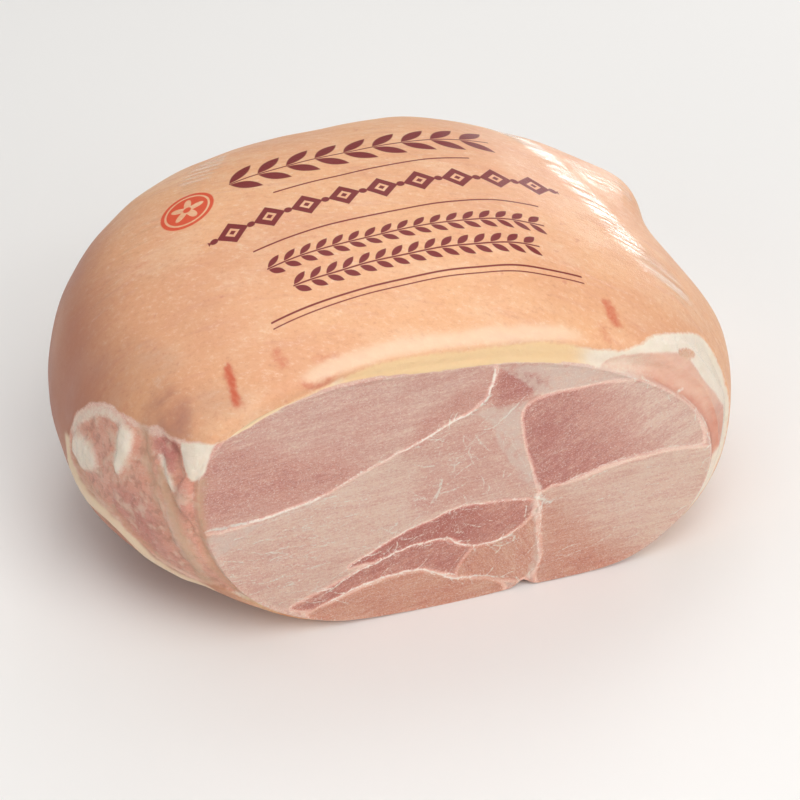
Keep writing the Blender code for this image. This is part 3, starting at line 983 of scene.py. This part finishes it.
def meat_colour(tree, fields):
    patterns = make_patterns(tree, fields, MEAT_PATTERNS)
    fibrous = weigh_up(tree, fields["lean"], (
        (patterns["blotches"], 0.42),
        (patterns["bands"], 0.45),
        (patterns["bundles"], 0.30),
        (patterns["fibres"], 1.55),
        (patterns["strands"], 0.50),
    ))
    even = weigh_up(tree, fields["lean"], ((patterns["blotches"], 0.5), (patterns["bundles"], 0.2)))
    depth = add(tree, "Mix", {0: fields["calm"], 2: fibrous, 3: even}, 0)
    cool = lay_colours(tree, "#f6d3c1", (
        (depth, 0.0, 0.55, 1, "#e1a698"),
        (depth, 0.5, 1.05, 1, "#c77e75"),
        (depth, 1.05, 1.7, 1, "#a9625a"),
    ))
    hot = lay_colours(tree, "#f6ceb3", (
        (depth, 0.0, 0.6, 1, "#e19a81"),
        (depth, 0.5, 1.05, 1, "#c46d5c"),
        (depth, 1.05, 1.7, 1, "#a45042"),
    ))
    lean = add(tree, "Mix", {0: fields["warm"], 6: cool, 7: hot}, 2, data_type="RGBA")

    jelly = add(tree, "Math", {0: fields["jelly"], 1: patterns["cloud"]}, operation="MULTIPLY")
    unbroken = add(tree, "MapRange", {0: patterns["breaks"], 1: 0.36, 2: 0.58, 3: 0.35, 4: 1.0})
    sinew = add(tree, "Math", {0: fields["sinew"], 1: unbroken}, operation="MULTIPLY")
    soothed = add(tree, "Math", {0: fields["calm"], 1: -0.1}, operation="MULTIPLY")
    haze = add(tree, "Math", {0: patterns["haze"], 1: soothed}, operation="ADD")
    flecks_and_glints = add(tree, "Math", {0: patterns["flecks_and_glints"], 1: soothed}, operation="ADD")
    torn_pale = add(tree, "Math", {0: fields["torn"], 1: patterns["curds"]}, operation="MULTIPLY")
    torn_dark = add(tree, "Math", {0: fields["torn"], 1: patterns["cloud"]}, operation="MULTIPLY")
    seam = add(tree, "Math", {0: fields["seam"], 1: patterns["breaks"]}, operation="MULTIPLY")
    fat_edge = weigh_up(tree, fields["fat"], ((patterns["breaks"], 0.45), (patterns["flecks_and_glints"], 0.15)))
    tan_edge = weigh_up(tree, fields["tan"], ((patterns["cloud"], 0.7), (patterns["flecks_and_glints"], 0.4)))
    fat = lay_colours(tree, "#fbebd8", (
        (patterns["curds"], 0.40, 0.75, 0.6, "#f3e0c9"),
        (fields["yellow"], 0, 1, 1, "#f9d3a2"),
    ))
    colour = lay_colours(tree, lean, (
        (jelly, 0.24, 0.62, 0.80, "#ecccbd"),
        (haze, 0.50, 0.72, 0.50, "#f7dccc"),
        # near-white flecks: pale specks and, in part, painted glints
        (flecks_and_glints, 0.53, 0.70, 0.82, "#fdeee2"),
        (seam, 0.3, 0.7, 0.25, "#efd9cb"),
        (torn_dark, 0.48, 0.66, 0.42, "#ad705c"),
        (torn_pale, 0.50, 0.70, 0.55, "#efd0b6"),
        (tan_edge, 0.0, 1.0, 0.85, "#d8ad8c"),
        (sinew, 0.12, 0.66, 0.90, "#f9eadd"),
        (fat_edge, 0.18, 0.85, 1, fat),
    ))
    return colour, patterns


# %% Cut meat: matt, with fine wet glints, partly painted
def cut_meat_material():
    material, tree, shader = new_material("cooked_lean_and_fat")
    fields = read_fields(tree, MEAT_MASKS, ["grain"])
    colour, patterns = meat_colour(tree, fields)
    tree.links.new(colour, shader.inputs["Base Color"])
    wet = add(tree, "MapRange", {0: patterns["cloud"], 1: 0.35, 2: 0.65, 3: 0.30, 4: 0.50})
    tree.links.new(wet, shader.inputs["Roughness"])
    height = weigh_up(tree, 0.0, (
        (patterns["flecks_and_glints"], 1.2),
        (patterns["haze"], 0.8),
        (patterns["fibres"], 0.6),
    ))
    level = add(tree, "MapRange", {0: fields["seam"], 1: 0.0, 2: 0.8, 3: 1.0, 4: 0.0})
    bump = add(tree, "Bump", {"Strength": level, "Distance": 0.55 * MM, "Height": height})
    tree.links.new(bump, shader.inputs["Normal"])
    shader.inputs["IOR"].default_value = 1.42
    shader.inputs["Subsurface Weight"].default_value = 0.12
    shader.inputs["Subsurface Radius"].default_value = (1.0, 0.35, 0.2)
    shader.inputs["Subsurface Scale"].default_value = 3 * MM
    return material


# %% [markdown]
# ## An ornament stamped on the rind
# Whole hams of this kind carry a stamp in food ink. This one is plain ornament: three garlands, a
# frieze of lozenges, thin rules and a round stamp with a flower. It is drawn by arithmetic on
# Object coordinates seen from above, in millimetres, with the rows a little arched, because a
# painted image would need a picture file and point colours would be too coarse for thin lines.

# %% Ornament
STAMP_MIDDLE = (-2, -27)
STAMP_ARCH = 420
LEAF_TILT = 38
ROW_REACH = 999


def one_of_row(tree, row, pitch):
    """Fold a row's coordinates so that one motif repeats along it at this pitch."""
    half = (pitch / 2, ROW_REACH, 1)
    return add(tree, "VectorMath", {0: row, 1: half, 2: [-part for part in half]}, operation="WRAP")


def leaf_row(tree, spot, height, span, pitch, leaf):
    """Paired leaves that lean along a stem; leaf is half its length and width."""
    row = add(tree, "Mapping", {"Vector": spot, "Location": (0, -height, 0)})
    cell = one_of_row(tree, row, pitch)
    along = add(tree, "SeparateXYZ", {0: cell}, "X")
    up = add(tree, "Math", {0: add(tree, "SeparateXYZ", {0: cell}, "Y")}, operation="ABSOLUTE")
    folded = add(tree, "CombineXYZ", {0: along, 1: up})
    angle = math.radians(LEAF_TILT)
    base = (0, leaf[0] * math.sin(angle) + 0.6, 0)
    blade = add(tree, "Mapping", {"Vector": folded, "Location": base, "Rotation": (0, 0, angle),
                                  "Scale": (leaf[0], leaf[1], 1)}, vector_type="TEXTURE")
    length = add(tree, "SeparateXYZ", {0: blade}, "X")
    width = add(tree, "Math", {0: add(tree, "SeparateXYZ", {0: blade}, "Y")}, operation="ABSOLUTE")
    shape = add(tree, "Math", {0: length, 1: length, 2: width}, operation="MULTIPLY_ADD")
    leaves = add(tree, "MapRange", {0: shape, 1: 1.12, 2: 0.88})
    stem = add(tree, "MapRange", {0: up, 1: 0.55, 2: 0.25})
    inked = add(tree, "Math", {0: leaves, 1: stem}, operation="MAXIMUM")
    return limit_row(tree, inked, row, span)


def limit_row(tree, inked, row, span):
    reach = add(tree, "Math", {0: add(tree, "SeparateXYZ", {0: row}, "X")}, operation="ABSOLUTE")
    inside = add(tree, "MapRange", {0: reach, 1: span + 0.2, 2: span - 0.2})
    return add(tree, "Math", {0: inked, 1: inside}, operation="MULTIPLY")


def rule(tree, spot, height, span, thickness):
    row = add(tree, "Mapping", {"Vector": spot, "Location": (0, -height, 0)})
    off = add(tree, "Math", {0: add(tree, "SeparateXYZ", {0: row}, "Y")}, operation="ABSOLUTE")
    line = add(tree, "MapRange", {0: off, 1: thickness / 2 + 0.2, 2: thickness / 2 - 0.2})
    return limit_row(tree, line, row, span)


def lozenge_row(tree, spot, height, span, pitch, half):
    """Lozenges with an open middle, and a dot between each two."""
    row = add(tree, "Mapping", {"Vector": spot, "Location": (0, -height, 0)})
    marks = []
    for shift in (0, pitch / 2):
        moved = add(tree, "Mapping", {"Vector": row, "Location": (shift, 0, 0)})
        cell = one_of_row(tree, moved, pitch)
        if shift:
            size = add(tree, "VectorMath", {0: cell}, "Value", operation="LENGTH")
            marks.append(add(tree, "MapRange", {0: size, 1: 1.9, 2: 1.5}))
        else:
            folded = add(tree, "VectorMath", {0: cell}, operation="ABSOLUTE")
            size = add(tree, "VectorMath", {0: folded, 1: (1 / half[0], 1 / half[1], 0)}, "Value",
                       operation="DOT_PRODUCT")
            solid = add(tree, "MapRange", {0: size, 1: 1.03, 2: 0.97})
            hollow = add(tree, "MapRange", {0: size, 1: 0.42, 2: 0.48})
            core = add(tree, "MapRange", {0: size, 1: 0.24, 2: 0.18})
            frame_part = add(tree, "Math", {0: solid, 1: hollow}, operation="MULTIPLY")
            marks.append(add(tree, "Math", {0: frame_part, 1: core}, operation="MAXIMUM"))
    inked = add(tree, "Math", {0: marks[0], 1: marks[1]}, operation="MAXIMUM")
    return limit_row(tree, inked, row, span + 2.5)


def round_stamp(tree, spot, middle, radius):
    """A disc with a bare ring near its edge and a bare five-petalled flower."""
    disc = add(tree, "Mapping", {"Vector": spot, "Location": (*middle, 0), "Scale": (*radius, 1)},
               vector_type="TEXTURE")
    size = add(tree, "VectorMath", {0: disc}, "Value", operation="LENGTH")
    turn = add(tree, "Math", {0: add(tree, "SeparateXYZ", {0: disc}, "Y"),
                              1: add(tree, "SeparateXYZ", {0: disc}, "X")}, operation="ARCTAN2")
    five_turns = add(tree, "Math", {0: turn, 1: 5.0}, operation="MULTIPLY")
    wave = add(tree, "Math", {0: five_turns}, operation="COSINE")
    petal = add(tree, "Math", {0: wave, 1: -0.2, 2: size}, operation="MULTIPLY_ADD")
    disc_ink = add(tree, "MapRange", {0: size, 1: 1.03, 2: 0.97})
    off_flower = add(tree, "MapRange", {0: petal, 1: 0.40, 2: 0.46})
    inside_ring = add(tree, "MapRange", {0: size, 1: 0.79, 2: 0.76})
    outside_ring = add(tree, "MapRange", {0: size, 1: 0.84, 2: 0.87})
    off_ring = add(tree, "Math", {0: inside_ring, 1: outside_ring}, operation="MAXIMUM")
    inked = add(tree, "Math", {0: disc_ink, 1: off_flower}, operation="MULTIPLY")
    inked = add(tree, "Math", {0: inked, 1: off_ring}, operation="MULTIPLY")
    pistil = add(tree, "MapRange", {0: size, 1: 0.17, 2: 0.13})
    return add(tree, "Math", {0: inked, 1: pistil}, operation="MAXIMUM")


def stamp(tree, place):
    """Masks of the dark and the bright ink."""
    middle = [-part for part in STAMP_MIDDLE]
    flat = add(tree, "Mapping", {"Vector": place, "Location": (*middle, 0), "Scale": (1 / MM, 1 / MM, 0)})
    across = add(tree, "SeparateXYZ", {0: flat}, "X")
    squared = add(tree, "Math", {0: across, 1: across}, operation="MULTIPLY")
    back = add(tree, "SeparateXYZ", {0: flat}, "Y")
    arched = add(tree, "Math", {0: squared, 1: 0.5 / STAMP_ARCH, 2: back}, operation="MULTIPLY_ADD")
    spot = add(tree, "CombineXYZ", {0: across, 1: arched})
    rows = (
        leaf_row(tree, spot, 47, 4.5 * 12.5, 12.5, (7.6, 2.7)),
        lozenge_row(tree, spot, 14, 4.5 * 16, 16, (6.9, 6.9)),
        rule(tree, spot, 29, 42, 0.9),
        rule(tree, spot, -3, 60, 0.9),
        leaf_row(tree, spot, -16, 8.5 * 6.8, 6.8, (3.7, 1.5)),
        leaf_row(tree, spot, -30, 7.5 * 6.8, 6.8, (3.7, 1.5)),
        rule(tree, spot, -42, 64, 0.9),
        rule(tree, spot, -45, 64, 0.6),
    )
    dark = rows[0]
    for row in rows[1:]:
        dark = add(tree, "Math", {0: dark, 1: row}, operation="MAXIMUM")
    bright = round_stamp(tree, spot, (-76, 43), (11.5, 11.5))
    on_top = add(tree, "MapRange", {0: add(tree, "SeparateXYZ", {0: place}, "Z"), 1: 90 * MM, 2: 100 * MM})
    return (add(tree, "Math", {0: dark, 1: on_top}, operation="MULTIPLY"),
            add(tree, "Math", {0: bright, 1: on_top}, operation="MULTIPLY"))


# %% [markdown]
# ## Rind
# Cooked pork skin is a sheet of gelatine: smooth, tight and moist. It is peach where fat lies under
# it and mauve-brown over muscle, with soft red bruises and fine pores. Its colour also carries
# painted light: a browner, darker tone painted towards the left, the back and the bottom as painted
# shade, and a pale band along the cut that is partly painted sheen. Fine wrinkles run round the ham,
# and where its film of juice is thick they break the highlights into combs. So the wet coat has a
# roughness and a bump of its own, sharper than those of the skin below.

# %% Rind
RIND_MASKS = ("bare", "blush", "pale", "mauve", "brown_and_shade", "cream", "wet")
RIND_PATTERNS = (
    # name, place, size in mm, stretch, detail, roughness
    ("broad", "object", 55, (1, 1, 1), 2, 0.5),
    ("mottle", "wrap", 13, (2.2, 2.2, 1), 4, 0.6),
    ("streaks", "wrap", 4, (6, 6, 1), 3, 0.6),
    ("spots", "object", 5, (1, 1, 1), 2, 0.5),
    ("fray", "object", 1.6, (1, 1, 1), 3, 0.5),
    ("pores", "object", 1.1, (1, 1, 1), 3, 0.8),
    ("freckles", "wrap", 2.2, (1.5, 1.5, 1), 5, 0.8),
    ("creases", "wrap", 5, (15, 15, 1), 1, 0.4),
    ("wrinkles", "wrap", 2.2, (32, 32, 1), 2, 0.5),
    ("damp", "object", 20, (1, 1, 1), 3, 0.5),
)


def rind_material():
    material, tree, shader = new_material("cooked_rind")
    fields = read_fields(tree, MEAT_MASKS + RIND_MASKS, ["grain", "wrap"])
    meat, flesh = meat_colour(tree, fields)
    patterns = make_patterns(tree, fields, RIND_PATTERNS)
    blush = weigh_up(tree, fields["blush"], ((patterns["fray"], 0.5),))
    mauve = add(tree, "Math", {0: fields["mauve"], 1: patterns["mottle"]}, operation="MULTIPLY")
    dark_ink, bright_ink = stamp(tree, fields["object"])
    rind = lay_colours(tree, "#efb78b", (
        (patterns["broad"], 0.3, 0.7, 1, "#e7ab84"),
        (patterns["mottle"], 0.45, 0.75, 0.55, "#f4caa6"),
        (patterns["mottle"], 0.45, 0.25, 0.4, "#dd9f80"),
        (patterns["streaks"], 0.52, 0.72, 0.45, "#e0a184"),
        (patterns["freckles"], 0.50, 0.72, 0.6, "#f8d6b6"),
        (patterns["freckles"], 0.48, 0.28, 0.6, "#d59374"),
        (patterns["pores"], 0.46, 0.26, 0.30, "#cc8668"),
        # painted shade with a browner tone, towards the left, the back and the bottom
        (fields["brown_and_shade"], 0, 1, 0.9, "#ac6a57"),
        (patterns["spots"], 0.68, 0.80, 0.5, "#d48a72"),
        (mauve, 0.15, 0.75, 0.8, "#a86d62"),
        # pale band along the cut, partly painted sheen
        (fields["pale"], 0, 1, 0.65, "#f7d8ba"),
        (fields["cream"], 0, 1, 0.9, "#f2dabb"),
        (blush, 0.18, 0.98, 0.94, "#d06245"),
        (dark_ink, 0, 1, 0.95, "#781020"),
        (bright_ink, 0, 1, 0.92, "#dc4a2a"),
    ))
    edge = weigh_up(tree, fields["bare"], ((patterns["fray"], 2 * MM),))
    bare = add(tree, "MapRange", {0: edge, 1: -0.8 * MM, 2: 0.8 * MM})
    colour = add(tree, "Mix", {0: bare, 6: rind, 7: meat}, 2, data_type="RGBA")
    tree.links.new(colour, shader.inputs["Base Color"])

    skin = weigh_up(tree, 0.0, (
        (patterns["pores"], 0.5),
        (patterns["wrinkles"], 0.2),
        (patterns["creases"], 0.2),
    ))
    torn = weigh_up(tree, 0.0, ((flesh["flecks_and_glints"], 1.2), (flesh["cloud"], 2.6), (flesh["haze"], 1.0)))
    relief = add(tree, "Mix", {0: bare, 2: skin, 3: torn}, 0)
    bump = add(tree, "Bump", {"Strength": 0.8, "Distance": 0.4 * MM, "Height": relief})
    tree.links.new(bump, shader.inputs["Normal"])
    pooled = weigh_up(tree, 0.0, ((patterns["wrinkles"], 1.0), (patterns["creases"], 2.2)))
    juice = add(tree, "Mix", {0: bare, 2: pooled, 3: torn}, 0)
    film = add(tree, "Bump", {"Strength": 1.0, "Distance": 0.8 * MM, "Height": juice})
    tree.links.new(film, shader.inputs["Coat Normal"])
    rough = add(tree, "MapRange", {0: patterns["damp"], 1: 0.3, 2: 0.7, 3: 0.42, 4: 0.54})
    tree.links.new(rough, shader.inputs["Roughness"])
    coat = add(tree, "MapRange", {0: fields["wet"], 3: 0.03, 4: 1.0})
    tree.links.new(coat, shader.inputs["Coat Weight"])
    shader.inputs["Coat Roughness"].default_value = 0.07
    shader.inputs["IOR"].default_value = 1.38
    shader.inputs["Subsurface Weight"].default_value = 0.12
    shader.inputs["Subsurface Radius"].default_value = (1.0, 0.4, 0.2)
    shader.inputs["Subsurface Scale"].default_value = 4 * MM
    return material


cut_face.data.materials.append(cut_meat_material())
rind_body.data.materials.append(rind_material())

# %% [markdown]
# ## Floor, light and camera
# A pale floor and soft light: a broad lamp from the right, a weaker one in front, and a low one
# behind on the right whose reflection runs along the ham's shoulder. The camera looks down on the
# ham from the left of its cut face.

# %% Floor
FLOOR_HALF = 3.0
floor_shape = bmesh.new()
bmesh.ops.create_grid(floor_shape, x_segments=1, y_segments=1, size=FLOOR_HALF)
floor_mesh = bpy.data.meshes.new("floor")
floor_shape.to_mesh(floor_mesh)
floor_shape.free()
floor = bpy.data.objects.new("floor", floor_mesh)
bpy.context.scene.collection.objects.link(floor)
paper, _, shader = new_material("pale_floor")
shader.inputs["Base Color"].default_value = linear("#f2f0ed")
shader.inputs["Roughness"].default_value = 0.7
floor_mesh.materials.append(paper)
floor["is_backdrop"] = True

# %% Lights
def aim(thing, place, target):
    thing.location = place
    thing.rotation_euler = (Vector(target) - Vector(place)).to_track_quat("-Z", "Y").to_euler()


def on_sphere(azimuth, elevation, distance, target):
    """Azimuth 0 is in front of the cut face, 90 to its right."""
    a, e = math.radians(azimuth), math.radians(elevation)
    back = Vector((math.sin(a) * math.cos(e), -math.cos(a) * math.cos(e), math.sin(e)))
    return Vector(target) + back * distance


def soft_box(name, azimuth, elevation, distance, size, power, target=(0, 0, 0.07)):
    lamp = bpy.data.lights.new(name, "AREA")
    lamp.shape = "RECTANGLE"
    lamp.size, lamp.size_y = size
    lamp.energy = power
    thing = bpy.data.objects.new(name, lamp)
    bpy.context.scene.collection.objects.link(thing)
    aim(thing, on_sphere(azimuth, elevation, distance, target), target)


soft_box("key", 12, 60, 1.7, (1.2, 1.2), 13.8)
soft_box("front", 25, 30, 1.7, (1.0, 1.0), 9.0)
soft_box("left_fill", -50, 28, 1.7, (0.9, 0.9), 4.8)
soft_box("back_left", -140, 60, 1.7, (1.3, 1.3), 7.0)
soft_box("back", 150, 50, 1.7, (0.9, 1.3), 6.6)
soft_box("shoulder", 137, 4.5, 1.3, (0.5, 0.12), 3.0)

world = bpy.data.worlds.new("studio")
world.use_nodes = True
world.node_tree.nodes["Background"].inputs["Color"].default_value = (1, 1, 1, 1)
world.node_tree.nodes["Background"].inputs["Strength"].default_value = 0.12
bpy.context.scene.world = world
bpy.context.scene.view_settings.view_transform = "Standard"

# %% Camera
BOARD_MIDDLE = (44.65 * MM, 137.4 * MM, 0.0)
CAMERA_AZIMUTH = -18
CAMERA_ELEVATION = 37.7
CAMERA_DISTANCE = 1.2
LENS_OVER_FRAME = 2635 / 800

look_at = Vector(BOARD_MIDDLE) - Vector(HOME)
camera_data = bpy.data.cameras.new("camera")
camera_data.sensor_width = 36
camera_data.lens = 36 * LENS_OVER_FRAME
camera = bpy.data.objects.new("camera", camera_data)
bpy.context.scene.collection.objects.link(camera)
aim(camera, on_sphere(CAMERA_AZIMUTH, CAMERA_ELEVATION, CAMERA_DISTANCE, look_at), look_at)
bpy.context.scene.camera = camera
print("camera looks at", [round(c, 4) for c in look_at])

# %% Size change against the loaded ham
looks_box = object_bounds()
change = (np.array(looks_box) - np.array(cad_box)) / MM
print("size change in mm:", np.round(change, 2).tolist())
